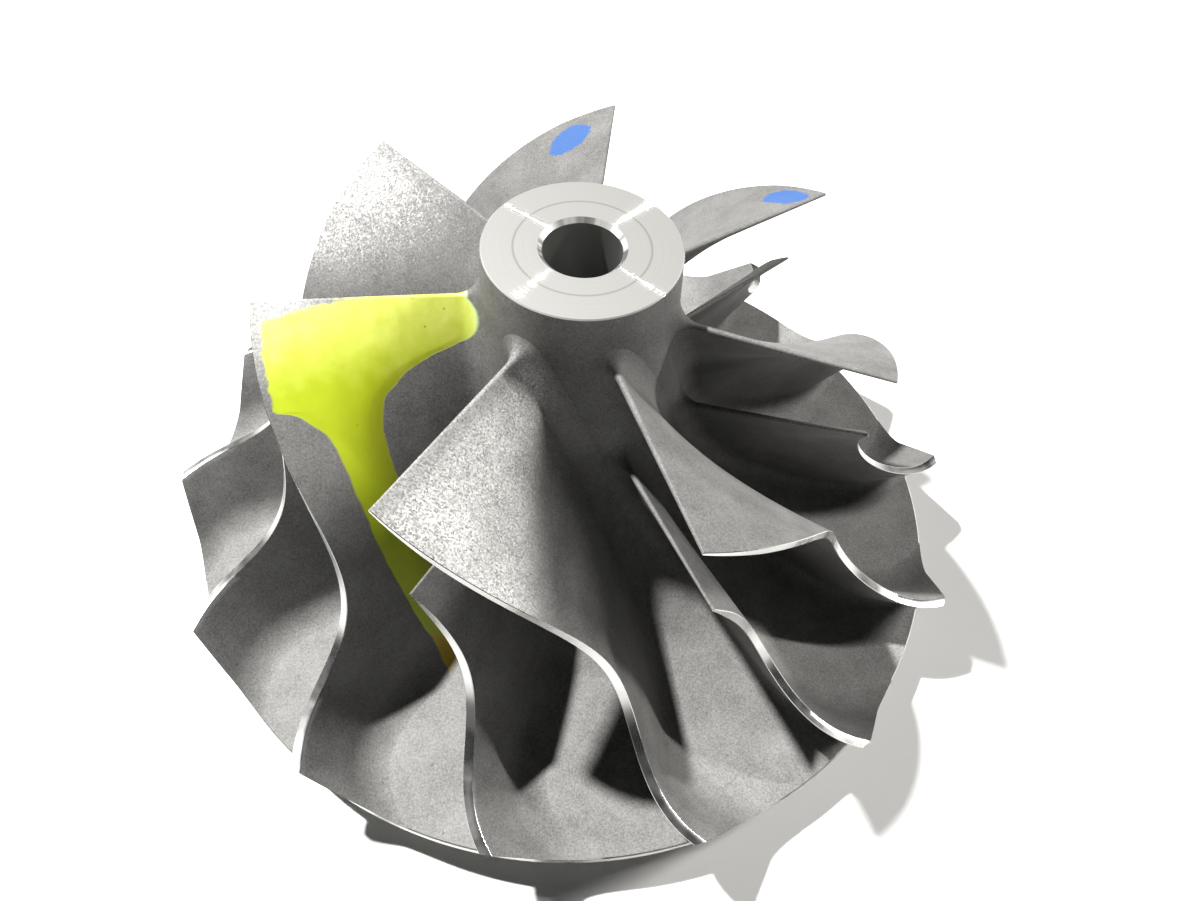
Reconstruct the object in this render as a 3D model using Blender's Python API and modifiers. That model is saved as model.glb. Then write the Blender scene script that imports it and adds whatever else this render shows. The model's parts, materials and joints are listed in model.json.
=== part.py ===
# Compressor wheel of a turbocharger: one aluminium casting with a bored nose, a trumpet-shaped
# hub, a thin back disc, seven full blades and seven splitter blades between them.
# The wheel stands on its back boss. The origin is the centre of that face, +Z is the shaft's axis
# towards the nose, and all lengths are in metres.

from math import cos, pi, radians, sin

import bmesh
import bpy
import numpy as np

MM = 0.001

# The shaft's bore and the turned nose
BORE_RADIUS = 4.0 * MM
BORE_CHAMFER = 0.45 * MM
NOSE_RADIUS = 10.0 * MM
NOSE_EDGE = 0.15 * MM
WHEEL_HEIGHT = 48.4 * MM

# The blades' edges in the half plane through the axis, as (radius, height) of Bezier points
SHROUD_LINE = [(32.7 * MM, 42.5 * MM), (33.6 * MM, 28.9 * MM), (28.5 * MM, 16.6 * MM), (47.75 * MM, 11.95 * MM)]
HUB_LINE = [(10.25 * MM, 42.2 * MM), (11.95 * MM, 22.8 * MM), (14.55 * MM, 5.6 * MM), (46.0 * MM, 6.0 * MM)]

# How far each edge has turned about the axis, in degrees, from the inlet to the outlet
SHROUD_TURN = [0.0, 34.3, 48.7, 38.4, 48.9]
HUB_TURN = [-0.6, 37.1, 80.3, 33.4, 57.1]

# The blades
PAIRS = 7
FIRST_BLADE_ANGLE = 33.5
SPLITTER_START_SHROUD = 0.305
SPLITTER_START_HUB = 0.232
INLET_TIP_THICKNESS = 0.84 * MM
OUTLET_TIP_THICKNESS = 1.02 * MM
ROOT_THICKNESS = 1.8 * MM
EDGE_SHARE = 0.62
EDGE_LENGTH = 0.09
FULL_STATIONS = 22
SPLITTER_STATIONS = 16
SPAN_ROWS = 3

# The back disc and the boss that the wheel rests on
RIM_THICKNESS = 1.1 * MM
RIM_CHAMFER = 0.2 * MM
BOSS_RADIUS = 12.5 * MM
BOSS_EDGE = 0.3 * MM
BACK_CONE_HEIGHT = 1.6 * MM

# The turned body is cut square to the axis into nose, hub, hub flare, back disc and back boss
NOSE_CUT = 42.2 * MM
HUB_CUT = 16.0 * MM
DISC_CUT = 7.0 * MM
GAP = 0.3 * MM
TURNED_STEPS = 84
HUB_POINTS = 9
FLARE_POINTS = 9
DISC_POINTS = 6

LINE_SAMPLES = 801
FULL_TURN = 2 * pi


def clear_scene():
    for old in list(bpy.data.objects):
        bpy.data.objects.remove(old, do_unlink=True)


def new_collection(name):
    collection = bpy.data.collections.new(name)
    bpy.context.scene.collection.children.link(collection)
    return collection


def principled(name, colour, roughness, metallic):
    material = bpy.data.materials.new(name)
    material.use_nodes = True
    shader = material.node_tree.nodes["Principled BSDF"]
    shader.inputs["Base Color"].default_value = (*colour, 1.0)
    shader.inputs["Roughness"].default_value = roughness
    shader.inputs["Metallic"].default_value = metallic
    material.diffuse_color = (*colour, 1.0)
    return material


def bezier(points, t):
    """Points of a Bezier curve of any degree at the parameters t."""
    level = [np.outer(np.ones_like(t), p) for p in np.atleast_2d(points)]
    while len(level) > 1:
        level = [a * (1 - t)[:, None] + b * t[:, None] for a, b in zip(level, level[1:])]
    return level[0]


class BladeEdge:
    """One edge of the blades: radius, height and turn against the share of its length."""

    def __init__(self, line, turn):
        t = np.linspace(0.0, 1.0, LINE_SAMPLES)
        points = bezier(np.array(line), t)
        steps = np.hypot(*np.diff(points, axis=0).T)
        self.share = np.concatenate([[0.0], np.cumsum(steps)]) / steps.sum()
        self.radius, self.height = points.T
        self.turn = bezier(np.array(turn)[:, None], self.share)[:, 0]

    def at(self, share):
        radius = np.interp(share, self.share, self.radius)
        height = np.interp(share, self.share, self.height)
        turn = np.interp(share, self.share, self.turn)
        return radius, height, turn

    def share_at_height(self, height):
        """The share of the length where a falling line reaches a height."""
        return float(np.interp(-height, -self.height, self.share))

    def lifted(self, distance):
        """The same edge moved off its own surface, out of the metal."""
        slope = np.gradient(np.stack([self.radius, self.height], 1), axis=0)
        slope /= np.hypot(*slope.T)[:, None]
        other = object.__new__(BladeEdge)
        other.share, other.turn = self.share, self.turn
        other.radius = self.radius - slope[:, 1] * distance
        other.height = self.height + slope[:, 0] * distance
        return other


def in_space(radius, height, degrees):
    return np.array([radius * cos(radians(degrees)), radius * sin(radians(degrees)), height])


def camber_surface(shroud, foot, start_shroud, start_foot, first_angle, stations):
    """The blade's middle surface: straight lines from foot to tip, as rows of points."""
    rows = []
    for u in np.linspace(0.0, 1.0, stations):
        tip = shroud.at(start_shroud + (1 - start_shroud) * u)
        root = foot.at(start_foot + (1 - start_foot) * u)
        high = in_space(tip[0], tip[1], first_angle + tip[2])
        low = in_space(root[0], root[1], first_angle + root[2])
        rows.append([low + (high - low) * v for v in np.linspace(0.0, 1.0, SPAN_ROWS + 1)])
    return np.array(rows)


def blade_thickness(u, v):
    """Thickness at a share u of the length and v of the height: thin tip, thinner leading edge."""
    tip = INLET_TIP_THICKNESS + (OUTLET_TIP_THICKNESS - INLET_TIP_THICKNESS) * u
    thickness = ROOT_THICKNESS + (tip - ROOT_THICKNESS) * v
    rise = min(1.0, u / EDGE_LENGTH)
    return thickness * (EDGE_SHARE + (1 - EDGE_SHARE) * rise)


def turned_about_axis(point, angle):
    c, s = cos(angle), sin(angle)
    return np.array([c * point[0] - s * point[1], s * point[0] + c * point[1], point[2]])


def blade_flanks(camber):
    """Both flanks, each half a thickness from the middle surface, moved round the axis."""
    along = np.gradient(camber, axis=0)
    up = np.gradient(camber, axis=1)
    normals = np.cross(along, up)
    normals /= np.linalg.norm(normals, axis=2)[..., None]
    flanks = ([], [])
    stations, rows = camber.shape[:2]
    for i in range(stations):
        for side, sign in zip(flanks, (-1, 1)):
            row = []
            for j in range(rows):
                point = camber[i, j]
                radius = np.hypot(point[0], point[1])
                sideways = np.array([-point[1], point[0], 0.0]) / radius
                share = abs(normals[i, j] @ sideways)
                half = blade_thickness(i / (stations - 1), j / (rows - 1)) / 2
                row.append(turned_about_axis(point, sign * half / (radius * share)))
            side.append(row)
    return flanks


def loft_blade(name, camber):
    """A closed blade: two flanks joined round their four edges."""
    flanks = blade_flanks(camber)
    bm = bmesh.new()
    grids = [[[bm.verts.new(p) for p in row] for row in flank] for flank in flanks]
    stations, rows = camber.shape[:2]
    for grid in grids:
        for i in range(stations - 1):
            for j in range(rows - 1):
                bm.faces.new((grid[i][j], grid[i + 1][j], grid[i + 1][j + 1], grid[i][j + 1]))
    first, second = grids
    for i in range(stations - 1):
        for j in (0, rows - 1):
            bm.faces.new((first[i][j], first[i + 1][j], second[i + 1][j], second[i][j]))
    for j in range(rows - 1):
        for i in (0, stations - 1):
            bm.faces.new((first[i][j], first[i][j + 1], second[i][j + 1], second[i][j]))
    bmesh.ops.recalc_face_normals(bm, faces=bm.faces)
    return finish_mesh(name, bm)


def finish_mesh(name, bm):
    mesh = bpy.data.meshes.new(name)
    bm.to_mesh(mesh)
    bm.free()
    mesh.shade_smooth()
    mesh.set_sharp_from_angle(angle=radians(40))
    return mesh


def add_object(name, mesh, material, collection):
    thing = bpy.data.objects.new(name, mesh)
    mesh.materials.append(material)
    collection.objects.link(thing)
    return thing


def add_turned(name, profile, material, collection):
    """A ring turned from a closed outline given down its outer side and up its bore."""
    bm = bmesh.new()
    corners = [bm.verts.new((radius, 0.0, height)) for radius, height in profile]
    for start, end in zip(corners, corners[1:] + corners[:1]):
        bm.edges.new((start, end))
    mesh = bpy.data.meshes.new(name)
    bm.to_mesh(mesh)
    bm.free()
    thing = add_object(name, mesh, material, collection)
    screw = thing.modifiers.new("Turning", "SCREW")
    screw.angle = FULL_TURN
    screw.steps = screw.render_steps = TURNED_STEPS
    screw.use_merge_vertices = True
    screw.merge_threshold = 0.00001
    screw.use_smooth_shade = True
    return thing


def nose_profile():
    return [
        (NOSE_RADIUS - NOSE_EDGE, WHEEL_HEIGHT),
        (NOSE_RADIUS, WHEEL_HEIGHT - NOSE_EDGE),
        (HUB_LINE[0][0], NOSE_CUT + GAP),
        (BORE_RADIUS, NOSE_CUT + GAP),
        (BORE_RADIUS, WHEEL_HEIGHT - BORE_CHAMFER),
        (BORE_RADIUS + BORE_CHAMFER, WHEEL_HEIGHT),
    ]


def line_between(edge, first_height, last_height, count):
    """Points of a blade edge's line between two heights."""
    shares = np.linspace(edge.share_at_height(first_height), edge.share_at_height(last_height), count)
    return [edge.at(share)[:2] for share in shares]


def hub_profile(foot):
    flank = line_between(foot, NOSE_CUT, HUB_CUT + GAP, HUB_POINTS)
    return flank + [(BORE_RADIUS, HUB_CUT + GAP), (BORE_RADIUS, NOSE_CUT)]


def hub_flare_profile(foot):
    flank = line_between(foot, HUB_CUT, DISC_CUT + GAP, FLARE_POINTS)
    return flank + [(BORE_RADIUS, DISC_CUT + GAP), (BORE_RADIUS, HUB_CUT)]


def back_disc_profile(foot):
    rim_height = HUB_LINE[-1][1]
    rim_radius = HUB_LINE[-1][0]
    shares = np.linspace(foot.share_at_height(DISC_CUT), 1.0, DISC_POINTS)
    front = [foot.at(share)[:2] for share in shares[:-1]]
    rim_and_back = [
        (rim_radius - RIM_CHAMFER, rim_height),
        (rim_radius, rim_height - RIM_CHAMFER),
        (rim_radius, rim_height - RIM_THICKNESS + RIM_CHAMFER),
        (rim_radius - RIM_CHAMFER, rim_height - RIM_THICKNESS),
        (BOSS_RADIUS, BACK_CONE_HEIGHT),
        (BORE_RADIUS, BACK_CONE_HEIGHT),
        (BORE_RADIUS, DISC_CUT),
    ]
    return front + rim_and_back


def back_boss_profile():
    return [
        (BOSS_RADIUS, BACK_CONE_HEIGHT - GAP),
        (BOSS_RADIUS, BOSS_EDGE),
        (BOSS_RADIUS - BOSS_EDGE, 0.0),
        (BORE_RADIUS + BORE_CHAMFER, 0.0),
        (BORE_RADIUS, BORE_CHAMFER),
        (BORE_RADIUS, BACK_CONE_HEIGHT - GAP),
    ]


def add_turned_body(foot, machined, cast, collection):
    add_turned("nose", nose_profile(), machined, collection)
    add_turned("hub", hub_profile(foot), cast, collection)
    add_turned("hub_flare", hub_flare_profile(foot), cast, collection)
    add_turned("back_disc", back_disc_profile(foot), cast, collection)
    add_turned("back_boss", back_boss_profile(), machined, collection)


def add_blades(shroud, foot, material, collection):
    seat = foot.lifted(GAP)
    pitch = 360.0 / PAIRS
    for number in range(PAIRS):
        angle = FIRST_BLADE_ANGLE + pitch * number
        full = camber_surface(shroud, seat, 0.0, 0.0, angle, FULL_STATIONS)
        full_name = f"full_blade_{number + 1}"
        add_object(full_name, loft_blade(full_name, full), material, collection)
        short = camber_surface(
            shroud, seat, SPLITTER_START_SHROUD, SPLITTER_START_HUB, angle + pitch / 2, SPLITTER_STATIONS
        )
        short_name = f"splitter_blade_{number + 1}"
        add_object(short_name, loft_blade(short_name, short), material, collection)


def main():
    clear_scene()
    wheel = new_collection("compressor_wheel")
    cast = principled("cast_aluminium", (0.50, 0.51, 0.52), 0.48, 0.9)
    machined = principled("machined_aluminium", (0.78, 0.78, 0.77), 0.28, 1.0)
    shroud = BladeEdge(SHROUD_LINE, SHROUD_TURN)
    foot = BladeEdge(HUB_LINE, HUB_TURN)
    add_turned_body(foot, machined, cast, wheel)
    add_blades(shroud, foot, cast, wheel)


main()
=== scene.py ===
import json
from math import cos, pi, radians, sin

import bmesh
import bpy
import numpy as np
from mathutils import Matrix, Vector

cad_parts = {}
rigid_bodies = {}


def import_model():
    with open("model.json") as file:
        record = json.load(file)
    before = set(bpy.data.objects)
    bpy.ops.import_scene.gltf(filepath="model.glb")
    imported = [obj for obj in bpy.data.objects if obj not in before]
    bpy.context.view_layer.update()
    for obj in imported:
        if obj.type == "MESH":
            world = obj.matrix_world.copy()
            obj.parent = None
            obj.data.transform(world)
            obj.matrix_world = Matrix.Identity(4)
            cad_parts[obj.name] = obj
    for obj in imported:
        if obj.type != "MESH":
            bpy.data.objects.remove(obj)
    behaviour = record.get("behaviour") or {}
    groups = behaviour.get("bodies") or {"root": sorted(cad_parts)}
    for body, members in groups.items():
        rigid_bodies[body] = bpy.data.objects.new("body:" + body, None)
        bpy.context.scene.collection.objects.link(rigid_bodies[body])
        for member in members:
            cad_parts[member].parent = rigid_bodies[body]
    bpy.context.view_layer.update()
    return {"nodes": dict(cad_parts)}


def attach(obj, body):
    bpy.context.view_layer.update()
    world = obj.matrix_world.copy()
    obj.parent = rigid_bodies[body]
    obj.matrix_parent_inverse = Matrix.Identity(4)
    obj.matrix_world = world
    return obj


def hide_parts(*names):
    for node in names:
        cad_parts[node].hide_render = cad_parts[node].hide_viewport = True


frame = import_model()
print("frame loaded:", len(frame["nodes"]), "nodes")

mm = 0.001

# The wheel's own geometry in mm, as the frame has it. A line is the Bezier curve of a blade's edge,
# as (radius, height). Its turn is how far that edge has gone round the axis, in degrees, from
# inlet to outlet
wheel = {
    "pairs": 7,
    "firstAngle": 33.5,
    "shroudLine": [(32.7, 42.5), (33.6, 28.9), (28.5, 16.6), (47.75, 11.95)],
    "shroudTurn": [0.0, 34.3, 48.7, 38.4, 48.9],
    "hubLine": [(10.25, 42.2), (11.95, 22.8), (14.55, 5.6), (46.0, 6.0)],
    "hubTurn": [-0.6, 37.1, 80.3, 33.4, 57.1],
    "height": 48.4,
    "noseRadius": 10.0,
    "boreRadius": 4.0,
    "boreChamfer": 0.45,
}


def bezier(points, t):
    # places on a Bezier curve of any degree
    level = [np.outer(np.ones_like(t), p) for p in np.array(points, float)]
    while len(level) > 1:
        level = [a * (1 - t)[:, None] + b * t[:, None] for a, b in zip(level, level[1:])]
    return level[0]


def edgeLine(line, turn, shares):
    # radius, height and turn of a blade's edge at shares of its length
    fineSteps = 1200
    t = np.linspace(0, 1, fineSteps + 1)
    points = bezier(line, t)
    length = np.concatenate([[0], np.cumsum(np.hypot(*np.diff(points, axis=0).T))])
    length /= length[-1]
    radius, height = (np.interp(shares, length, c) for c in points.T)
    return radius, height, bezier(np.array(turn)[:, None], shares)[:, 0]


def addObject(name, data):
    thing = bpy.data.objects.new(name, data)
    bpy.context.scene.collection.objects.link(thing)
    return thing


# Node trees, written as formulas

class Field:
    # a node's socket that can stand in a sum
    def __init__(self, sheet, socket):
        self.sheet = sheet
        self.socket = socket

    def __add__(self, other):
        return self.sheet.combine("ADD", self, other)

    def __sub__(self, other):
        return self.sheet.combine("SUBTRACT", self, other)

    def __rsub__(self, other):
        return self.sheet.combine("SUBTRACT", other, self)

    def __mul__(self, other):
        return self.sheet.combine("MULTIPLY", self, other)

    def __truediv__(self, other):
        return self.sheet.combine("DIVIDE", self, other)

    __radd__ = __add__
    __rmul__ = __mul__


class Sheet:
    # a node tree with short ways to add its nodes
    def __init__(self, tree):
        self.tree = tree

    def add(self, kind, inputs=(), **settings):
        node = self.tree.nodes.new(kind)
        for key, value in settings.items():
            setattr(node, key, value)
        for key, value in dict(inputs).items():
            self.feed(node.inputs[key], value)
        return node

    def feed(self, socket, value):
        if isinstance(value, Field):
            self.tree.links.new(value.socket, socket)
        else:
            socket.default_value = value

    def field(self, kind, inputs=(), out=0, **settings):
        return Field(self, self.add(kind, inputs, **settings).outputs[out])

    def math(self, operation, *values):
        return self.field("ShaderNodeMath", enumerate(values), operation=operation)

    def vector(self, operation, *values, out=0):
        return self.field("ShaderNodeVectorMath", enumerate(values), out, operation=operation)

    def scaled(self, value, factor):
        return self.field("ShaderNodeVectorMath", {0: value, "Scale": factor}, operation="SCALE")

    def combine(self, operation, a, b):
        isVector = [isinstance(v, Field) and v.socket.type == "VECTOR" for v in (a, b)]
        if not any(isVector):
            return self.math(operation, a, b)
        if all(isVector) or operation in ("ADD", "SUBTRACT"):
            return self.vector(operation, a, b)
        if operation == "DIVIDE":
            return self.scaled(a, self.math("DIVIDE", 1.0, b))
        return self.scaled(a, b) if isVector[0] else self.scaled(b, a)

    def clamped(self, value, low, high):
        return self.math("MINIMUM", self.math("MAXIMUM", value, low), high)

    def mapped(self, value, fromLow, fromHigh, toLow, toHigh, kind="LINEAR"):
        ends = {0: value, 1: fromLow, 2: fromHigh, 3: toLow, 4: toHigh}
        return self.field("ShaderNodeMapRange", ends, interpolation_type=kind)

    def xyz(self, value):
        node = self.add("ShaderNodeSeparateXYZ", {0: value})
        return [Field(self, out) for out in node.outputs]


# Tools for the finishes

def newMaterial(name):
    material = bpy.data.materials.new(name)
    material.use_nodes = True
    material.node_tree.nodes.clear()
    return material, Sheet(material.node_tree)


def objectPoint(sheet):
    return sheet.field("ShaderNodeTexCoord", out="Object")


def noise(sheet, point, size, detail=2.0, roughness=0.5):
    values = {"Vector": point, "Scale": 1 / (size * mm), "Detail": detail, "Roughness": roughness}
    return sheet.field("ShaderNodeTexNoise", values, out=0)


def noiseAlong(sheet, value, detail, roughness):
    # noise along one number
    values = {"W": value, "Scale": 1.0, "Detail": detail, "Roughness": roughness}
    return sheet.field("ShaderNodeTexNoise", values, noise_dimensions="1D")


def cells(sheet, point, size, out="Distance"):
    # cells of a size in mm: the distance to a cell's middle, or a colour of its own
    values = {"Vector": point, "Scale": 1 / (size * mm)}
    return sheet.field("ShaderNodeTexVoronoi", values, out)


def blendTone(sheet, factor, low, high):
    low, high = (tone if isinstance(tone, Field) else (*tone, 1) for tone in (low, high))
    values = {"Factor": factor, 6: low, 7: high}
    return sheet.field("ShaderNodeMix", values, out=2, data_type="RGBA")


def bumped(sheet, height, depth):
    values = {"Height": height, "Distance": depth * mm, "Strength": 1.0}
    return sheet.field("ShaderNodeBump", values)


def stored(sheet, name):
    return sheet.field("ShaderNodeAttribute", out="Fac", attribute_name=name)


def curveOver(sheet, value, points):
    # a smooth curve through points (value, result)
    node = sheet.add("ShaderNodeFloatCurve", {"Value": value})
    curve = node.mapping.curves[0]
    curve.points[0].location = points[0]
    curve.points[1].location = points[-1]
    for place in points[1:-1]:
        curve.points.new(*place)
    for control in curve.points:
        control.handle_type = "AUTO_CLAMPED"
    node.mapping.update()
    return Field(sheet, node.outputs[0])


def radiusOf(sheet, x, y):
    return sheet.math("SQRT", x * x + y * y)


def output(sheet, shader):
    sheet.add("ShaderNodeOutputMaterial", {"Surface": shader})


# The cast skin of the hub, disc and blades

castFinish = {
    "tone": (0.200, 0.199, 0.194),
    "dark": (0.072, 0.070, 0.067),
    "pitTone": (0.05, 0.047, 0.044),
    "pitShare": 0.6,             # how much of that tone a pit takes
    "discShare": 1.45,           # the disc's skin is brighter than the blades', the hub's darker
    "hubShare": 0.85,
    "discToHub": (8.0, 20.0),    # mm, heights between which the one goes over into the other
    "roughness": (0.72, 0.86),
    "metallic": 0.25,            # most of its light is scattered by the oxide
    "sheen": 0.15,               # a thin second gloss, from the skin's flattened grains
    "sheenIor": 1.48,
    "sheenRoughness": 0.46,
    "grain": 0.22,               # mm, as the next three
    "coarseGrain": 1.3,
    "cloud": 5.0,
    "pitSpacing": 2.6,
    "grainShare": 0.62,          # of the tone's change, and the rest is cloudy
    "grainDepth": 0.022,         # mm
    "crystal": 0.16,             # mm, size of the crystals that glint
    "crystalTilt": 0.5,
}


def crystalNormal(sheet, point, tilt):
    # each crystal of the skin leans its own way, so single grains glint
    lean = cells(sheet, point, castFinish["crystal"], "Color")
    lean = sheet.vector("SUBTRACT", lean, (0.5, 0.5, 0.5))
    own = sheet.field("ShaderNodeNewGeometry", out="Normal")
    return sheet.vector("NORMALIZE", own + sheet.scaled(lean, tilt))


def castSkin(sheet, point):
    # blasted cast aluminium: fine grain, a few pits and cloudy tone
    grain = noise(sheet, point, castFinish["grain"], 3.0, 0.65)
    coarse = noise(sheet, point, castFinish["coarseGrain"], 2.0)
    cloud = noise(sheet, point, castFinish["cloud"], 4.0, 0.65)
    pit = sheet.mapped(cells(sheet, point, castFinish["pitSpacing"]), 0.02, 0.09, 1.0, 0.0)
    share = castFinish["grainShare"]
    tone = sheet.mapped(grain * share + cloud * (1 - share), 0.34, 0.66, 0.0, 1.0)
    colour = blendTone(sheet, tone, castFinish["dark"], castFinish["tone"])
    colour = blendTone(sheet, pit * castFinish["pitShare"], colour, castFinish["pitTone"])
    return {
        "colour": colour,
        "rough": sheet.mapped(grain * 0.6 + cloud * 0.4, 0.35, 0.65, *castFinish["roughness"]),
        "height": grain + coarse * 0.8 - pit * 0.8,
        "tilt": castFinish["crystalTilt"],
        "sheen": castFinish["sheen"],
        "metallic": castFinish["metallic"],
    }


def castShader(sheet, point, skin):
    values = {
        "Base Color": skin["colour"],
        "Roughness": skin["rough"],
        "Metallic": skin["metallic"],
        "Normal": bumped(sheet, skin["height"], castFinish["grainDepth"]),
        "Coat Weight": skin["sheen"],
        "Coat Roughness": castFinish["sheenRoughness"],
        "Coat IOR": castFinish["sheenIor"],
        "Coat Normal": crystalNormal(sheet, point, skin["tilt"]),
    }
    return sheet.field("ShaderNodeBsdfPrincipled", values)


def bodyShare(sheet, point):
    height = sheet.xyz(point)[2] / mm
    ends = (castFinish["discShare"], castFinish["hubShare"])
    return sheet.mapped(height, *castFinish["discToHub"], *ends)


def bladeSkin(sheet, point):
    # a fillet's tone runs over into the hub's and disc's
    skin = castSkin(sheet, point)
    share = 1.0 + stored(sheet, "foot") * (bodyShare(sheet, point) - 1.0)
    skin["colour"] = sheet.scaled(skin["colour"], share)
    return skin


def bodyMaterial():
    material, sheet = newMaterial("castAluminiumBody")
    point = objectPoint(sheet)
    skin = castSkin(sheet, point)
    skin["colour"] = sheet.scaled(skin["colour"], bodyShare(sheet, point))
    output(sheet, castShader(sheet, point, skin))
    return material


def splitterMaterial():
    material, sheet = newMaterial("castAluminium")
    point = objectPoint(sheet)
    output(sheet, castShader(sheet, point, bladeSkin(sheet, point)))
    return material


# The full blades' skin: painted highlights on bare flanks, yellow paint on one blade and a dab of
# blue ink on two

paintedHighlightAndGloss = {
    # painted highlight: blade, counted from 0, share of the tone, gloss, share of its height from
    # which it is full
    "paintedHighlight": [(4, 2.45, 1.1, 0.2), (2, 1.9, 0.9, 0.85)],
    "bandStart": (0.002, 0.035), # the painted highlight's band sets in and ends at these shares of the length
    "bandEnd": (0.02, 0.11),
    "bandLean": 0.16,            # how much further along it ends at the tip
    "beforeBand": 0.4,           # what is left of it at the leading edge and after the band
    "afterBand": 0.12,
    "fades": (0.26, 0.54),       # and where that fades
    "paintedTipHighlight": 1.7,              # painted highlight added at the bare tip of the blade with yellow paint
    "tipAlong": (0.03, 0.12),    # which ends between these shares of the length
    "tipAcross": (0.5, 0.8),     # and begins between these of the height
    "paintedGlitter": 1.15,             # how much the painted highlight differs from crystal to crystal
    "patchSize": 1.1,            # mm
}
marks = {
    "paintedBlade": 3,           # counted from 0: full_blade_4
    "paintTone": (0.38, 0.455, 0.007),
    "paintShade": (0.31, 0.375, 0.005),
    "paintPale": (0.60, 0.64, 0.13),        # towards the leading edge, where it is thin
    "paintThin": (0.40, 0.58, 0.36),        # at its end by the nose
    "paintThick": (0.25, 0.26, 0.006),      # along its border on the hub's side
    "paintDrop": (0.42, 0.29, 0.012),       # where it ran down to the hub
    "paintSpeck": (0.10, 0.14, 0.01),
    "speckSpacing": 3.4,         # mm
    "paintRoughness": 0.42,
    "paintEdge": 0.012,          # softness of its outline, as a share of the blade's height
    "edgeWobble": 0.02,          # and how far that wanders
    "wobbleSize": 2.2,           # mm, as the next two
    "fraySize": 0.9,
    "streakSize": 1.6,
    # where these tones lie: between two shares of the blade's length, and how much at each
    "paleAlong": (0.02, 0.12, 0.95, 0.0),
    "thinAlong": (0.03, 0.07, 1.0, 0.0),
    "thickAlong": (0.05, 0.15, 0.0, 1.0),
    "dropAlong": (0.635, 0.655, 0.0, 0.9),
    # and in from the border on the hub's side, in shares of the blade's height
    "thinAcross": (0.0, 0.03, 0.85, 0.0),
    "thickAcross": (0.02, 0.12, 0.75, 0.0),
    # the bare strip along the leading edge: between two shares of the height, and its width
    "bareStrip": (0.56, 0.94, -0.006, 0.021),
    # the paint's two borders: share of the blade's length, share of its height from hub to tip
    "hubSide": [
        (0.0, 0.05), (0.012, 0.024), (0.03, 0.012), (0.055, 0.03), (0.07, 0.10), (0.088, 0.24),
        (0.12, 0.395), (0.17, 0.505), (0.231, 0.528), (0.36, 0.51), (0.50, 0.40), (0.59, 0.18),
        (0.66, 0.0), (1.0, 0.0),
    ],
    "tipSide": [
        (0.0, 0.955), (0.142, 0.972), (0.149, 0.908), (0.168, 0.838), (0.19, 0.79),
        (0.221, 0.768), (0.375, 0.76), (0.439, 0.732), (0.498, 0.672), (0.569, 0.542),
        (0.631, 0.34), (0.66, 0.19), (0.70, 0.04), (0.72, 0.0), (1.0, 0.0),
    ],
    # ink: blade, share of its length, share of its height, half sizes along and across in mm
    "ink": [(0, 0.042, 0.872, 1.75, 1.85), (1, 0.070, 0.838, 1.6, 2.1)],
    "inkTone": (0.006, 0.075, 0.27),
    "inkOpacity": 0.88,
    "flankSize": (42.0, 22.0),   # mm, a flank's length and height, for the ink's sizes
}


class Flank:
    # what the full blades' patterns are drawn with: a point's place on its blade, and two noises
    def __init__(self, sheet):
        self.sheet = sheet
        self.point = objectPoint(sheet)
        self.along = stored(sheet, "along")
        self.span = stored(sheet, "span")
        self.side = sheet.math("GREATER_THAN", stored(sheet, "side"), -0.25)
        self.wobble = noise(sheet, self.point, marks["wobbleSize"], 2.0) - 0.5
        self.frayed = noise(sheet, self.point, marks["fraySize"], 4.0, 0.7) - 0.5

    def isBlade(self, number):
        number = float(number)
        return self.sheet.math("COMPARE", stored(self.sheet, "blade"), number, 0.4)


def paintFlankHighlights(sheet, flank, skin):
    # painted highlight with glitter on bare flanks, in a band behind the leading edge, and a real
    # gloss
    along, span = flank.along, flank.span
    before, after = paintedHighlightAndGloss["beforeBand"], paintedHighlightAndGloss["afterBand"]
    inletHalf = sheet.mapped(along, *paintedHighlightAndGloss["fades"], 1.0, 0.0)
    inletHalf = inletHalf * flank.side * (1.0 - stored(sheet, "foot"))
    start = sheet.mapped(along, *paintedHighlightAndGloss["bandStart"], before, 1.0, "SMOOTHSTEP")
    leaned = along - span * paintedHighlightAndGloss["bandLean"]
    end = sheet.mapped(leaned, *paintedHighlightAndGloss["bandEnd"], 1.0, after, "SMOOTHSTEP")
    band = inletHalf * start * end
    crystal, _, _ = sheet.xyz(cells(sheet, flank.point, castFinish["crystal"], "Color"))
    patch = noise(sheet, flank.point, paintedHighlightAndGloss["patchSize"], 3.0, 0.6)
    patch = sheet.mapped(patch, 0.35, 0.65, 0.5, 1.0)
    crystal = (crystal - 0.5) * patch * (2 * paintedHighlightAndGloss["paintedGlitter"])
    gloss = inletHalf * castFinish["sheen"]
    # painted highlight: the tone is raised where the lamp's sheen lit these flanks
    for number, share, shine, fullAt in paintedHighlightAndGloss["paintedHighlight"]:
        height = sheet.mapped(span, fullAt - 0.5, fullAt, 0.15, 1.0)
        paintedHighlight = band * flank.isBlade(number) * height
        highlightGain = sheet.math("MAXIMUM", crystal * (share - 1.0) + (share - 1.0), -0.5)
        skin["colour"] = sheet.scaled(skin["colour"], 1.0 + paintedHighlight * highlightGain)
        gloss = gloss + paintedHighlight * shine
    # painted highlight at the bare tip of the blade with yellow paint
    paintedTipHighlight = sheet.mapped(along, *paintedHighlightAndGloss["tipAlong"], 1.0, 0.0)
    paintedTipHighlight = paintedTipHighlight * sheet.mapped(span, *paintedHighlightAndGloss["tipAcross"], 0.0, 1.0)
    paintedTipHighlight = paintedTipHighlight * flank.side * flank.isBlade(marks["paintedBlade"])
    share = 1.0 + paintedTipHighlight * (crystal * 0.8 + paintedHighlightAndGloss["paintedTipHighlight"])
    skin["colour"] = sheet.scaled(skin["colour"], share)
    skin["sheen"] = gloss + castFinish["sheen"]


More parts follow.
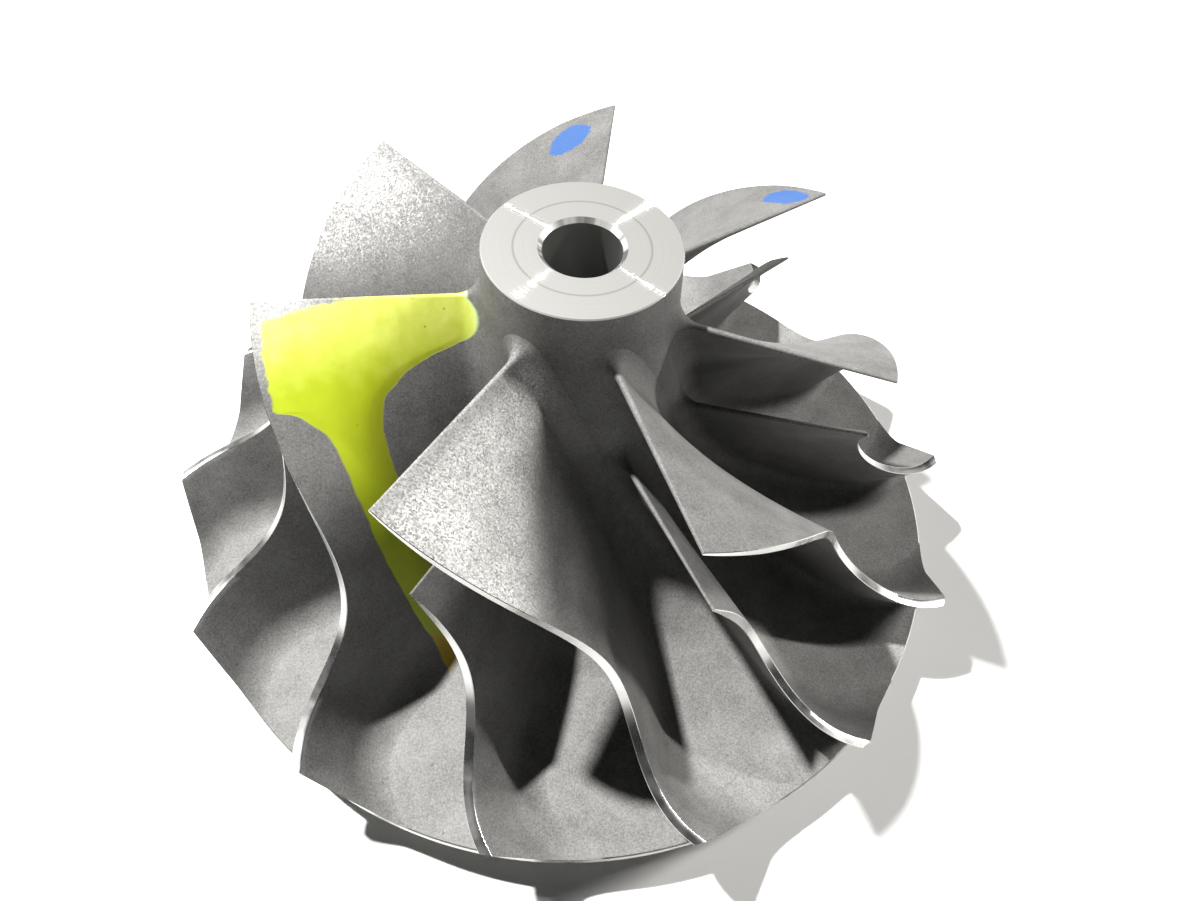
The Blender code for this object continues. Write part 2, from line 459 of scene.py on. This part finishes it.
def paintOutline(sheet, flank):
    # how far inside its border on the hub's side and inside its whole outline a point is
    hubSide = curveOver(sheet, flank.along, marks["hubSide"])
    tipSide = curveOver(sheet, flank.along, marks["tipSide"])
    byTheTip = sheet.math("LESS_THAN", flank.along, marks["tipSide"][1][0])
    wander = flank.wobble * marks["edgeWobble"]
    tipRoom = tipSide - flank.span + wander + flank.frayed * (byTheTip * 0.05)
    hubRoom = flank.span - hubSide + wander
    bareStrip = sheet.mapped(flank.span, *marks["bareStrip"])
    edgeRoom = (flank.along - bareStrip) * 2.5 + flank.frayed * 0.045
    return hubRoom, sheet.math("MINIMUM", sheet.math("MINIMUM", tipRoom, hubRoom), edgeRoom)


def paintColour(sheet, flank, hubRoom):
    along, frayed = flank.along, flank.frayed
    drawnDown = sheet.vector("MULTIPLY", flank.point, (1.0, 1.0, 0.3))
    streaks = noise(sheet, drawnDown, marks["streakSize"], 3.0)
    pale = sheet.mapped(along + flank.wobble * 0.08, *marks["paleAlong"])
    pale = pale * sheet.mapped(streaks, 0.3, 0.7, 0.6, 1.0)
    thin = sheet.mapped(hubRoom + frayed * 0.03, *marks["thinAcross"])
    thin = thin * sheet.mapped(along, *marks["thinAlong"])
    thick = sheet.mapped(hubRoom + frayed * 0.04, *marks["thickAcross"])
    thick = thick * sheet.mapped(along, *marks["thickAlong"])
    drop = sheet.mapped(along, *marks["dropAlong"])
    speck = cells(sheet, flank.point, marks["speckSpacing"])
    speck = sheet.mapped(speck, 0.02, 0.05, 0.6, 0.0)
    colour = blendTone(sheet, streaks, marks["paintShade"], marks["paintTone"])
    layers = [
        (pale, "paintPale"), (thin, "paintThin"), (thick, "paintThick"), (drop, "paintDrop"),
        (speck, "paintSpeck"),
    ]
    for amount, name in layers:
        colour = blendTone(sheet, amount, colour, marks[name])
    return colour


def addPaint(sheet, flank, skin):
    hubRoom, room = paintOutline(sheet, flank)
    paint = sheet.mapped(room, 0.0, marks["paintEdge"], 0.0, 1.0)
    paint = paint * flank.side * flank.isBlade(marks["paintedBlade"])
    skin["colour"] = blendTone(sheet, paint, skin["colour"], paintColour(sheet, flank, hubRoom))
    skin["rough"] = skin["rough"] + (marks["paintRoughness"] - skin["rough"]) * paint
    thickness = paint * sheet.mapped(room, 0.01, 0.07, 0.0, 1.0)
    skin["height"] = skin["height"] * (1.0 - paint * 0.75) + thickness * 1.6
    return paint


def addInk(sheet, flank, skin, paint):
    length, height = marks["flankSize"]
    for number, u, v, halfAlong, halfAcross in marks["ink"]:
        du = (flank.along - u) * (length / halfAlong)
        dv = (flank.span - v) * (height / halfAcross)
        away = sheet.math("SQRT", du * du + dv * dv) + flank.frayed * 0.5 + flank.wobble * 0.3
        ink = sheet.mapped(away, 0.92, 1.05, marks["inkOpacity"], 0.0)
        ink = ink * flank.side * flank.isBlade(number)
        skin["colour"] = blendTone(sheet, ink, skin["colour"], marks["inkTone"])
        paint = sheet.math("MAXIMUM", paint, ink)
    return paint


def fullBladeMaterial():
    material, sheet = newMaterial("castAluminiumMarked")
    flank = Flank(sheet)
    skin = bladeSkin(sheet, flank.point)
    paintFlankHighlights(sheet, flank, skin)
    covered = addInk(sheet, flank, skin, addPaint(sheet, flank, skin))
    skin["tilt"] = castFinish["crystalTilt"] * (1.0 - covered * 0.85)
    skin["metallic"] = castFinish["metallic"] * (1.0 - covered)
    output(sheet, castShader(sheet, flank.point, skin))
    return material


# The turned surfaces: blades' edges, rim, nose face and bore

turnedFinish = {
    "edgeTone": (0.58, 0.58, 0.57),
    "edgeRoughness": 0.28,
    "rimTone": (0.60, 0.60, 0.59),
    "rimRoughness": 0.32,
    "toolMark": 0.16,            # mm between the lathe's grooves on edges and rim
    "toolShade": 0.88,           # share of the tone in a groove, painted shade of the groove
    "patchSize": 2.5,            # mm, of duller and shinier places
    "faceTone": (0.445, 0.445, 0.43),
    "faceDark": (0.38, 0.38, 0.37),
    "faceRoughness": 0.68,
    "faceRings": 7.0,            # a mm
    "ringDepth": 0.004,          # mm
    "scoreRadius": 6.8,          # mm, a scored line round the nose face
    "scoreTone": (0.2, 0.2, 0.19),
    "brushedShare": 0.26,        # of the nose face's light, which its fine rings draw into streaks
    "brushedTone": (0.9, 0.9, 0.88),
    "brushedRoughness": 0.055,
    "ringWidth": 0.006,          # mm
    "ringLean": 0.85,            # how far a ring leans inward or outward
    "boreTone": (0.42, 0.42, 0.41),
    # the chamfer's darker tone and its bright glints are painted reflection
    "chamferTone": (0.30, 0.30, 0.29),
    "paintedGlintTone": (0.95, 0.95, 0.93),
    "paintedGlintsPerRadian": 2.4,            # painted glints a radian round the chamfer
    "boreRoughness": 0.45,
}


def machinedMaterial(name, roughness, tone):
    # grooves run round the axis, drawn as painted shade in the tone
    material, sheet = newMaterial(name)
    point = objectPoint(sheet)
    x, y, z = sheet.xyz(point)
    grooves = (radiusOf(sheet, x, y) - z) / (turnedFinish["toolMark"] * mm)
    wave = sheet.math("SINE", grooves * 2 * pi)
    shade = sheet.mapped(wave, -1.0, 1.0, turnedFinish["toolShade"], 1.0)
    colour = sheet.scaled(sheet.field("ShaderNodeCombineXYZ", dict(enumerate(tone))), shade)
    patch = noise(sheet, point, turnedFinish["patchSize"], 2.0)
    rough = sheet.mapped(patch, 0.3, 0.7, roughness * 0.8, roughness * 1.25)
    values = {"Base Color": colour, "Roughness": rough, "Metallic": 1.0}
    output(sheet, sheet.field("ShaderNodeBsdfPrincipled", values))
    return material


def ringNormal(sheet, x, y, radius):
    ring = sheet.math("FLOOR", radius / turnedFinish["ringWidth"])
    lean = sheet.field("ShaderNodeTexWhiteNoise", {"W": ring}, noise_dimensions="1D") - 0.5
    flat = sheet.field("ShaderNodeCombineXYZ", {0: x, 1: y, 2: 0.0})
    outward = sheet.vector("NORMALIZE", flat)
    own = sheet.field("ShaderNodeNewGeometry", out="Normal")
    lean = lean * (2 * turnedFinish["ringLean"])
    return sheet.vector("NORMALIZE", own + sheet.scaled(outward, lean))


def noseFaceMaterial():
    # rings of tool marks that draw its highlights out across them
    material, sheet = newMaterial("turnedNoseFace")
    point = objectPoint(sheet)
    x, y, _ = sheet.xyz(point)
    radius = radiusOf(sheet, x, y) / mm
    across = radius * turnedFinish["faceRings"] + noise(sheet, point, 3.0, 1.0) * 0.4
    rings = noiseAlong(sheet, across, 3.0, 0.7)
    line = sheet.math("ABSOLUTE", radius - turnedFinish["scoreRadius"])
    scored = sheet.mapped(line, 0.04, 0.16, 1.0, 0.0)
    colour = blendTone(sheet, rings, turnedFinish["faceDark"], turnedFinish["faceTone"])
    colour = blendTone(sheet, scored * 0.5, colour, turnedFinish["scoreTone"])
    values = {
        "Base Color": colour,
        "Roughness": turnedFinish["faceRoughness"],
        "Metallic": 1.0,
        "Normal": bumped(sheet, rings - scored, turnedFinish["ringDepth"]),
    }
    plain = sheet.field("ShaderNodeBsdfPrincipled", values)
    values = {
        "Base Color": (*turnedFinish["brushedTone"], 1),
        "Roughness": turnedFinish["brushedRoughness"],
        "Metallic": 1.0,
        "Normal": ringNormal(sheet, x, y, radius),
    }
    brushed = sheet.field("ShaderNodeBsdfPrincipled", values)
    both = {0: turnedFinish["brushedShare"], 1: plain, 2: brushed}
    output(sheet, sheet.field("ShaderNodeMixShader", both))
    return material


def boreMaterial():
    # the reamed bore, with painted glints of reflection round its upper chamfer
    material, sheet = newMaterial("reamedBore")
    x, y, z = sheet.xyz(objectPoint(sheet))
    around = sheet.math("ARCTAN2", y, x) * turnedFinish["paintedGlintsPerRadian"]
    glintNoise = noiseAlong(sheet, around, 1.0, 0.4)
    chamferFoot = wheel["height"] - wheel["boreChamfer"] - 0.02
    onChamfer = sheet.math("GREATER_THAN", z / mm, chamferFoot)
    # painted highlight: glints of reflection on the chamfer
    paintedHighlight = sheet.mapped(glintNoise, 0.45, 0.62, 0.0, 1.0) * onChamfer
    colour = blendTone(sheet, onChamfer, turnedFinish["boreTone"], turnedFinish["chamferTone"])
    colour = blendTone(sheet, paintedHighlight, colour, turnedFinish["paintedGlintTone"])
    values = {"Base Color": colour, "Roughness": turnedFinish["boreRoughness"], "Metallic": 1.0}
    output(sheet, sheet.field("ShaderNodeBsdfPrincipled", values))
    return material


bodySkin = bodyMaterial()
splitterSkin = splitterMaterial()
fullBladeSkin = fullBladeMaterial()
bladeEdge = machinedMaterial(
    "machinedEdge", turnedFinish["edgeRoughness"], turnedFinish["edgeTone"]
)
rimEdge = machinedMaterial("machinedRim", turnedFinish["rimRoughness"], turnedFinish["rimTone"])
noseFace = noseFaceMaterial()
boreWall = boreMaterial()
print("materials made")


# The turned body: nose, trumpet hub, disc and boss in one skin

turned = {
    "steps": 288,                # faces round the axis
    "sharpAngle": 30.0,          # degrees, what is shaded as an edge
    "hubRings": 90,
    "faceRings": 8,
    "neckRings": 8,              # on the nose's outside
    "coneRings": 12,             # on the disc's back
    "boreRings": 16,
    "noseEdge": 0.12,            # mm, as all that follow
    "rimThickness": 1.1,
    "rimEdge": 0.12,
    "bossRadius": 12.5,
    "bossEdge": 0.3,
    "coneHeight": 1.6,
}


def between(start, end, count):
    # points after the start, up to the end
    return [tuple(p) for p in np.linspace(start, end, count + 1)[1:]]


def turnedProfile():
    # (radius, height, material number of the face that follows), down the outside and up the bore
    skin, face, rim, wall = 0, 1, 2, 3
    top, bore, nose = wheel["height"], wheel["boreRadius"], wheel["noseRadius"]
    chamfer, noseEdge = wheel["boreChamfer"], turned["noseEdge"]
    rimRadius, rimTop = wheel["hubLine"][-1]
    rimEdge, rimUnder = turned["rimEdge"], rimTop - turned["rimThickness"]
    boss, bossEdge = turned["bossRadius"], turned["bossEdge"]

    points = [(bore, top - chamfer, wall), (bore + chamfer, top, face)]
    for r, z in between((bore + chamfer, top), (nose - noseEdge, top), turned["faceRings"]):
        points.append((r, z, face))
    neck = (nose, top - noseEdge)
    for r, z in [neck] + between(neck, wheel["hubLine"][0], turned["neckRings"])[:-1]:
        points.append((r, z, skin))
    shares = np.linspace(0, 1, turned["hubRings"])
    radius, height, _ = edgeLine(wheel["hubLine"], wheel["hubTurn"], shares)
    points += [(r, z, skin) for r, z in zip(radius[:-1], height[:-1])]
    points += [
        (rimRadius - rimEdge, rimTop, rim),
        (rimRadius, rimTop - rimEdge, rim),
        (rimRadius, rimUnder + rimEdge, rim),
        (rimRadius - rimEdge, rimUnder, rim),
    ]
    cone = (rimRadius - rimEdge, rimUnder), (boss, turned["coneHeight"])
    for r, z in between(*cone, turned["coneRings"]):
        points.append((r, z, rim))
    points += [
        (boss, bossEdge, rim),
        (boss - bossEdge, 0.0, rim),
        (bore + chamfer, 0.0, rim),
        (bore, chamfer, wall),
    ]
    for r, z in between((bore, chamfer), (bore, top - chamfer), turned["boreRings"])[:-1]:
        points.append((r, z, wall))
    return points


def spinProfile(name, points, steps, materials):
    bm = bmesh.new()
    turns = [2 * pi * i / steps for i in range(steps)]
    rings = []
    for r, z, _ in points:
        rings.append([bm.verts.new((r * mm * cos(a), r * mm * sin(a), z * mm)) for a in turns])
    for ring, (_, _, number), following in zip(rings, points, rings[1:] + rings[:1]):
        for i in range(steps):
            j = (i + 1) % steps
            face = bm.faces.new((ring[i], following[i], following[j], ring[j]))
            face.material_index = number
            face.smooth = True
    bmesh.ops.recalc_face_normals(bm, faces=bm.faces)
    mesh = bpy.data.meshes.new(name)
    for material in materials:
        mesh.materials.append(material)
    bm.to_mesh(mesh)
    bm.free()
    mesh.set_sharp_from_angle(angle=radians(turned["sharpAngle"]))
    return mesh


def makePiece(name, mesh, replaced):
    piece = addObject(name, mesh)
    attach(piece, "root")
    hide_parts(*replaced)


turnedMaterials = [bodySkin, noseFace, rimEdge, boreWall]
turnedMesh = spinProfile("turned_body", turnedProfile(), turned["steps"], turnedMaterials)
turnedNodes = ["nose", "hub", "hub_flare", "back_disc", "back_boss"]
makePiece("turned_body", turnedMesh, turnedNodes)
print("turned body:", len(turnedMesh.polygons), "faces")


# The blades: one tree lofts a blade between two guide lines, with its fillet and cut edges, and
# repeats it round the axis

blades = {
    "noseSteps": 6,              # faces round half of the leading edge
    "filletRows": 7,
    "flankRows": 12,
    "rootThickness": 1.8,        # mm
    "inletTipThickness": 0.84,
    "outletTipThickness": 1.02,
    "edgeLength": 0.09,          # share of the length over which the leading edge thickens
    "fillet": 2.3,               # mm
    "chamfer": 0.06,
    "sunk": 0.3,                 # how deep the foot goes into the hub
    "footDepth": 0.06,           # the share of that at the fillet's own edge
    "footPull": 0.998,           # the lowest row is drawn in towards the axis by this
    "weld": 0.002,               # mm
    "sharpAngle": 32.0,          # degrees
}
fullBlades = {
    "stations": 84,              # places along a blade
    "startShroud": 0.0,          # where its edges begin, as shares of the wheel's two lines
    "startHub": 0.0,
    "edgeShare": 0.43,           # thickness at the leading edge, as a share
    "angle": wheel["firstAngle"],
}
splitters = {
    "stations": 62,
    "startShroud": 0.305,
    "startHub": 0.232,
    "edgeShare": 0.37,
    "angle": wheel["firstAngle"] + 180 / wheel["pairs"],
}


def guideLine(name, line, turn, start, kind):
    # a wire along one edge of the first blade, one vertex a station
    stations = kind["stations"]
    radius, height, turns = edgeLine(line, turn, np.linspace(start, 1, stations))
    angles = np.radians(turns + kind["angle"])
    mesh = bpy.data.meshes.new(name)
    points = np.stack([radius * np.cos(angles), radius * np.sin(angles), height], 1) * mm
    mesh.from_pydata(points.tolist(), [(i, i + 1) for i in range(stations - 1)], [])
    return addObject(name, mesh)


bladeInputs = {
    "Tip Guide": "NodeSocketObject",
    "Foot Guide": "NodeSocketObject",
    "Stations": "NodeSocketInt",
    "Blades": "NodeSocketInt",
    "Root Thickness": "NodeSocketFloat",
    "Inlet Tip Thickness": "NodeSocketFloat",
    "Outlet Tip Thickness": "NodeSocketFloat",
    "Edge Share": "NodeSocketFloat",
    "Edge Length": "NodeSocketFloat",
    "Fillet": "NodeSocketFloat",
    "Chamfer": "NodeSocketFloat",
    "Sunk": "NodeSocketFloat",
    "Cast": "NodeSocketMaterial",
    "Machined": "NodeSocketMaterial",
}


def bladeTree():
    tree = bpy.data.node_groups.new("bladeRing", "GeometryNodeTree")
    tree.interface.new_socket("Geometry", in_out="OUTPUT", socket_type="NodeSocketGeometry")
    for name, kind in bladeInputs.items():
        tree.interface.new_socket(name, in_out="INPUT", socket_type=kind)
    sheet = Sheet(tree)
    given = sheet.add("NodeGroupInput")
    value = {name: Field(sheet, given.outputs[name]) for name in bladeInputs}
    counts = ("noseSteps", "filletRows", "flankRows")
    noseSteps, filletRows, flankRows = (float(blades[name]) for name in counts)
    lastStation = value["Stations"] - 1.0
    halfColumns = lastStation + (noseSteps + 1)         # from leading edge to outlet face
    underRows = 2.0                                     # under the foot
    lastRow = underRows + filletRows + flankRows + 2    # the chamfer, the middle of the tip

    # A flat grid: columns go round the blade from outlet to outlet, rows from foot to tip
    grid = sheet.add("GeometryNodeMeshGrid", {
        "Size X": halfColumns * 2,
        "Size Y": lastRow,
        "Vertices X": halfColumns * 2 + 1.0,
        "Vertices Y": int(lastRow) + 1,
    })
    place = sheet.field("GeometryNodeInputPosition")
    column, gridY, _ = sheet.xyz(place)
    row = sheet.math("ROUND", gridY + lastRow / 2)
    fromNose = sheet.math("ROUND", sheet.math("ABSOLUTE", column))
    side = sheet.math("SIGN", column)
    noseTurn = sheet.math("MINIMUM", fromNose / noseSteps, 1.0) * (pi / 2)
    station = sheet.clamped(fromNose - noseSteps, 0.0, lastStation)
    atOutlet = sheet.math("GREATER_THAN", fromNose, halfColumns - 0.5)
    along = station / lastStation

    def sampled(guide, index):
        info = sheet.field("GeometryNodeObjectInfo", {"Object": value[guide]}, out="Geometry")
        return sheet.field(
            "GeometryNodeSampleIndex",
            {"Geometry": info, "Value": sheet.field("GeometryNodeInputPosition"), "Index": index},
            data_type="FLOAT_VECTOR",
        )

    tip, foot = sampled("Tip Guide", station), sampled("Foot Guide", station)
    length = sheet.vector("DISTANCE", tip, foot, out="Value")

    # Height over the hub and thickness for each row
    flankFoot = underRows + filletRows
    filletTurn = sheet.clamped(row - underRows, 0.0, filletRows) * (pi / 2 / filletRows)
    flankShare = sheet.clamped(row - flankFoot, 0.0, flankRows) / flankRows
    pastFlank = sheet.clamped(row - (flankFoot + flankRows), 0.0, 1.0)
    fillet, chamfer = value["Fillet"], value["Chamfer"]
    height = fillet * (1.0 - sheet.math("COSINE", filletTurn))
    height = height + (length - fillet - chamfer) * flankShare + chamfer * pastFlank
    span = height / length
    flare = fillet * (1.0 - sheet.math("SINE", filletTurn))
    inlet, outlet = value["Inlet Tip Thickness"], value["Outlet Tip Thickness"]
    root, edgeShare = value["Root Thickness"], value["Edge Share"]
    thickness = root + (inlet + (outlet - inlet) * along - root) * span
    grown = sheet.math("MINIMUM", along / value["Edge Length"], 1.0)
    thickness = thickness * (edgeShare + (1.0 - edgeShare) * grown)
    reach = thickness * 0.5 + flare - chamfer * pastFlank
    isBottom = sheet.math("LESS_THAN", row, 0.5)
    isTop = sheet.math("GREATER_THAN", row, lastRow - 0.5)
    closed = sheet.math("MAXIMUM", sheet.math("MAXIMUM", isBottom, isTop), atOutlet)
    reach = reach * (1.0 - closed)

    # Directions on the blade's middle surface: along the flow, round the axis, out of the hub
    def middle(index):
        low, high = sampled("Foot Guide", index), sampled("Tip Guide", index)
        return low + (high - low) * span

    before = sheet.math("MAXIMUM", station - 1.0, 0.0)
    after = sheet.math("MINIMUM", station + 1.0, lastStation)
    flow = sheet.vector("NORMALIZE", middle(after) - middle(before))
    centre = middle(station)
    x, y, _ = sheet.xyz(centre)
    around = sheet.field("ShaderNodeCombineXYZ", {0: y * -1.0, 1: x, 2: 0.0})
    around = sheet.vector("NORMALIZE", around)
    outward = sheet.vector("NORMALIZE", sheet.vector("CROSS_PRODUCT", flow, around))
    sideways = sheet.vector("NORMALIZE", sheet.vector("CROSS_PRODUCT", outward, flow))
    turnedSide = around / sheet.vector("DOT_PRODUCT", sideways, around, out="Value")
    sideways = sideways + (turnedSide - sideways) * along     # the outlet is cut on the lathe

    # Offsets go round the axis, so that the foot stays on the hub and the tip on the shroud's line
    across = side * sheet.math("SINE", noseTurn)
    offset = (sideways * across - flow * sheet.math("COSINE", noseTurn)) * reach
    roundPart = sheet.vector("DOT_PRODUCT", offset, around, out="Value")
    moved = centre + offset - around * roundPart
    level = sheet.vector("MULTIPLY", moved, (1.0, 1.0, 0.0))
    turn = roundPart / sheet.vector("LENGTH", level, out="Value")
    turning = {0: moved, "Angle": turn}
    moved = sheet.field("ShaderNodeVectorRotate", turning, rotation_type="Z_AXIS")

    # The foot's own row lies just under the hub's skin, and the two below it go deeper
    sunk, pull = value["Sunk"], blades["footPull"]
    depth = sunk * sheet.clamped(underRows - row, 0.0, 1.0) + sunk * blades["footDepth"]
    moved = moved - outward * depth * (1.0 - sheet.clamped(row - underRows, 0.0, 1.0))
    inward = sheet.field("ShaderNodeCombineXYZ", {0: pull, 1: pull, 2: 1.0})
    keep = sheet.clamped(row - 1.0, 0.0, 1.0)
    moved = moved * keep + moved * inward * (1.0 - keep)

    def chained(kind, geometry, inputs, **settings):
        return sheet.field(kind, {"Geometry": geometry, **inputs}, **settings)

    shaped = Field(sheet, grid.outputs[0])
    kept = {"row": row, "fromNose": fromNose, "along": along, "span": span, "side": across}
    kept["foot"] = 1.0 - sheet.math("SINE", filletTurn)
    for name, number in kept.items():
        named = {"Name": name, "Value": number}
        shaped = chained("GeometryNodeStoreNamedAttribute", shaped, named)
    shaped = chained("GeometryNodeSetPosition", shaped, {"Position": moved})
    shaped = chained("GeometryNodeMergeByDistance", shaped, {"Distance": blades["weld"] * mm})
    shaped = sheet.field("GeometryNodeFlipFaces", {"Mesh": shaped})

    # The ring, with each blade's own number
    spots = {"Count": value["Blades"], "Offset": (0.0, 0.0, 0.0)}
    spots = sheet.field("GeometryNodeMeshLine", spots)
    number = sheet.field("GeometryNodeInputIndex")
    turn = sheet.field("ShaderNodeCombineXYZ", {2: number * (2 * pi) / value["Blades"]})
    turn = sheet.field("FunctionNodeEulerToRotation", {0: turn})
    ring = {"Points": spots, "Instance": shaped, "Rotation": turn}
    ring = sheet.field("GeometryNodeInstanceOnPoints", ring)
    numbered = {"Name": "blade", "Value": sheet.field("GeometryNodeInputIndex")}
    ring = chained("GeometryNodeStoreNamedAttribute", ring, numbered, domain="INSTANCE")
    ring = sheet.field("GeometryNodeRealizeInstances", {"Geometry": ring})

    # Its skin, and the edges that were cut on the lathe
    faceRow = sheet.field("GeometryNodeInputNamedAttribute", {"Name": "row"}, out=0)
    faceColumn = sheet.field("GeometryNodeInputNamedAttribute", {"Name": "fromNose"}, out=0)
    isTip = sheet.math("GREATER_THAN", faceRow, lastRow - 1.75)
    isOutlet = sheet.math("GREATER_THAN", faceColumn, halfColumns - 0.75)
    isCut = sheet.math("MAXIMUM", isTip, isOutlet)
    ring = chained("GeometryNodeSetMaterial", ring, {"Material": value["Cast"]})
    machined = {"Selection": isCut, "Material": value["Machined"]}
    ring = chained("GeometryNodeSetMaterial", ring, machined)
    sheet.add("NodeGroupOutput", {"Geometry": ring})
    return tree


def bladeRing(name, tree, guides, kind, skin):
    # runs the tree and keeps its result as a plain mesh
    holder = addObject(name + "_holder", bpy.data.meshes.new(name + "_holder"))
    modifier = holder.modifiers.new("Ring", "NODES")
    modifier.node_group = tree
    inputs = [item for item in tree.interface.items_tree if item.in_out == "INPUT"]
    sockets = {item.name: item.identifier for item in inputs}
    settings = {
        "Tip Guide": guides[0],
        "Foot Guide": guides[1],
        "Stations": kind["stations"],
        "Blades": wheel["pairs"],
        "Root Thickness": blades["rootThickness"] * mm,
        "Inlet Tip Thickness": blades["inletTipThickness"] * mm,
        "Outlet Tip Thickness": blades["outletTipThickness"] * mm,
        "Edge Share": kind["edgeShare"],
        "Edge Length": blades["edgeLength"],
        "Fillet": blades["fillet"] * mm,
        "Chamfer": blades["chamfer"] * mm,
        "Sunk": blades["sunk"] * mm,
        "Cast": skin,
        "Machined": bladeEdge,
    }
    for key, given in settings.items():
        modifier[sockets[key]] = given
    depsgraph = bpy.context.evaluated_depsgraph_get()
    result = holder.evaluated_get(depsgraph)
    mesh = bpy.data.meshes.new_from_object(result, depsgraph=depsgraph)
    mesh.name = name
    if mesh.materials[0] is None:
        mesh.materials.pop(index=0)     # the grid's own empty slot
    for old in (holder, *guides):
        bpy.data.objects.remove(old)
    mesh.shade_smooth()
    mesh.set_sharp_from_angle(angle=radians(blades["sharpAngle"]))
    return mesh


def makeBlades(name, nodeName, tree, kind, skin):
    shroud, hub = (wheel["shroudLine"], wheel["shroudTurn"]), (wheel["hubLine"], wheel["hubTurn"])
    guides = [
        guideLine("tipGuide", *shroud, kind["startShroud"], kind),
        guideLine("footGuide", *hub, kind["startHub"], kind),
    ]
    mesh = bladeRing(name, tree, guides, kind, skin)
    nodes = [f"{nodeName}_{i + 1}" for i in range(wheel["pairs"])]
    makePiece(name, mesh, nodes)
    print(name, len(mesh.polygons), "faces")


ringTree = bladeTree()
makeBlades("full_blades", "full_blade", ringTree, fullBlades, fullBladeSkin)
makeBlades("splitter_blades", "splitter_blade", ringTree, splitters, splitterSkin)


# Floor, light and camera

studio = {
    "floorSize": 4.0,                # m
    "floorTone": (0.74, 0.74, 0.73),
    "floorRoughness": 0.6,
    "lampDistance": 0.9,             # m
    # each lamp: azimuth from +X and elevation in degrees, its length and width in m and how far
    # the length leans from level in degrees, power in W, colour
    "lamps": {
        "key": ((159.0, 60.0), (0.042, 0.042, 0.0), 23.5, (1.0, 0.99, 0.97)),
        "side": ((15.0, 41.0), (0.30, 0.012, 59.4), 7.3, (1.0, 0.98, 0.95)),
    },
    "worldTone": (0.55, 0.56, 0.58),
    "worldStrength": 0.06,
}
view = {
    "distance": 129.445,             # mm, from the middle of the disc's upper face
    "elevation": 55.42,              # degrees
    "roll": -2.99,
    "tilt": -2.61,
    "pan": 1.64,
    "lens": 29.457,                  # mm
    "sensorWidth": 36.0,             # mm
    "nearest": 5.0,                  # mm, what the camera begins to see
}


def makeFloor():
    half = studio["floorSize"] / 2
    corners = [(-half, -half, 0), (half, -half, 0), (half, half, 0), (-half, half, 0)]
    mesh = bpy.data.meshes.new("floor")
    mesh.from_pydata(corners, [], [(0, 1, 2, 3)])
    floor = addObject("floor", mesh)
    material, sheet = newMaterial("paleFloor")
    tone = (*studio["floorTone"], 1)
    values = {"Base Color": tone, "Roughness": studio["floorRoughness"]}
    output(sheet, sheet.field("ShaderNodeBsdfPrincipled", values))
    mesh.materials.append(material)


def makeLamps():
    for name, (place, (length, width, lean), power, colour) in studio["lamps"].items():
        azimuth, elevation = (radians(a) for a in place)
        level = cos(elevation)
        away = Vector((cos(azimuth) * level, sin(azimuth) * level, sin(elevation)))
        data = bpy.data.lights.new(name, "AREA")
        data.shape = "ELLIPSE"
        data.size = length
        data.size_y = width
        data.energy = power
        data.color = colour
        lamp = addObject(name, data)
        lamp.location = away * studio["lampDistance"]
        facing = away.to_track_quat("Z", "Y").to_matrix()
        lamp.rotation_euler = (facing @ Matrix.Rotation(radians(lean), 3, "Z")).to_euler()


def makeWorld():
    world = bpy.data.worlds.new("studio")
    bpy.context.scene.world = world
    world.use_nodes = True
    background = world.node_tree.nodes["Background"]
    background.inputs["Color"].default_value = (*studio["worldTone"], 1)
    background.inputs["Strength"].default_value = studio["worldStrength"]


def makeCamera():
    elevation = radians(view["elevation"])
    aim = Vector((0, 0, wheel["hubLine"][-1][1] * mm))
    away = Vector((0, -cos(elevation), sin(elevation)))
    right = Vector((1, 0, 0))
    level = Matrix((right, away.cross(right), away))
    turn = Matrix.Rotation(radians(view["roll"]), 3, "Z")
    turn = turn @ Matrix.Rotation(radians(view["tilt"]), 3, "X")
    turn = turn @ Matrix.Rotation(radians(view["pan"]), 3, "Y")
    data = bpy.data.cameras.new("camera")
    data.sensor_width = view["sensorWidth"]
    data.sensor_fit = "HORIZONTAL"
    data.lens = view["lens"]
    data.clip_start = view["nearest"] * mm
    camera = addObject("camera", data)
    place = aim + away * view["distance"] * mm
    camera.matrix_world = Matrix.Translation(place) @ (turn @ level).transposed().to_4x4()
    bpy.context.scene.camera = camera


makeFloor()
makeLamps()
makeWorld()
makeCamera()
bpy.context.scene.view_settings.view_transform = "Standard"
print("studio made")
